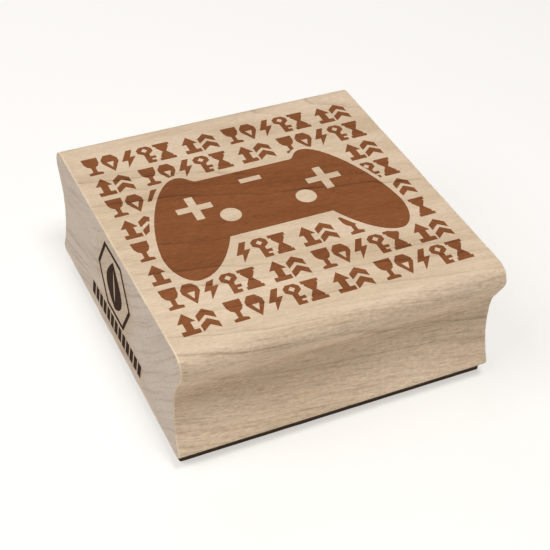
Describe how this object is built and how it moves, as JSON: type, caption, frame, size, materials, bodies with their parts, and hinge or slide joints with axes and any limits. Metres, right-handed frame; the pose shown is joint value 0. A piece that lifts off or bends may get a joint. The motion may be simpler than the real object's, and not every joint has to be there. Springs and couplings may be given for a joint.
{
  "type": "rubber stamp",
  "caption": "Wood-mounted rubber stamp: moulded maple block with finger coves, foam cushion and a relief rubber die with a gamepad and rows of small symbols.",
  "frame": {"origin": "centre of the stamp on the plane of the die's printing face, which is the surface the stamp stands on", "axes": "+X along the wood grain towards the right-hand sawn end, +Y across the moulding towards the back, +Z up; the picture reads upright with +Y up"},
  "size_m": [0.065, 0.068, 0.0287],
  "materials": {
    "maple": "sanded bare hard maple, unvarnished",
    "adhesive_film": "translucent double-sided film",
    "cushion_foam": "matt closed-cell foam",
    "die_rubber": "matt engraved stamp rubber",
    "print_ink": "thin brown ink in the wood's surface",
    "char_mark": "burnt wood, dull"
  },
  "bodies": {
    "block": {"maple_block": "maple", "block_adhesive": "adhesive_film", "foam_cushion": "cushion_foam"},
    "die": {"die_adhesive": "adhesive_film", "rubber_die": "die_rubber"}
  },
  "joints": [
    {"name": "cushion_press", "type": "slide", "parent": "block", "child": "die", "axis": [0, 0, 1], "range_m": [0, 0.0005], "stiffness_N_per_m": 5000, "springref_m": -0.0004, "deforming": ["foam_cushion"]}
  ]
}
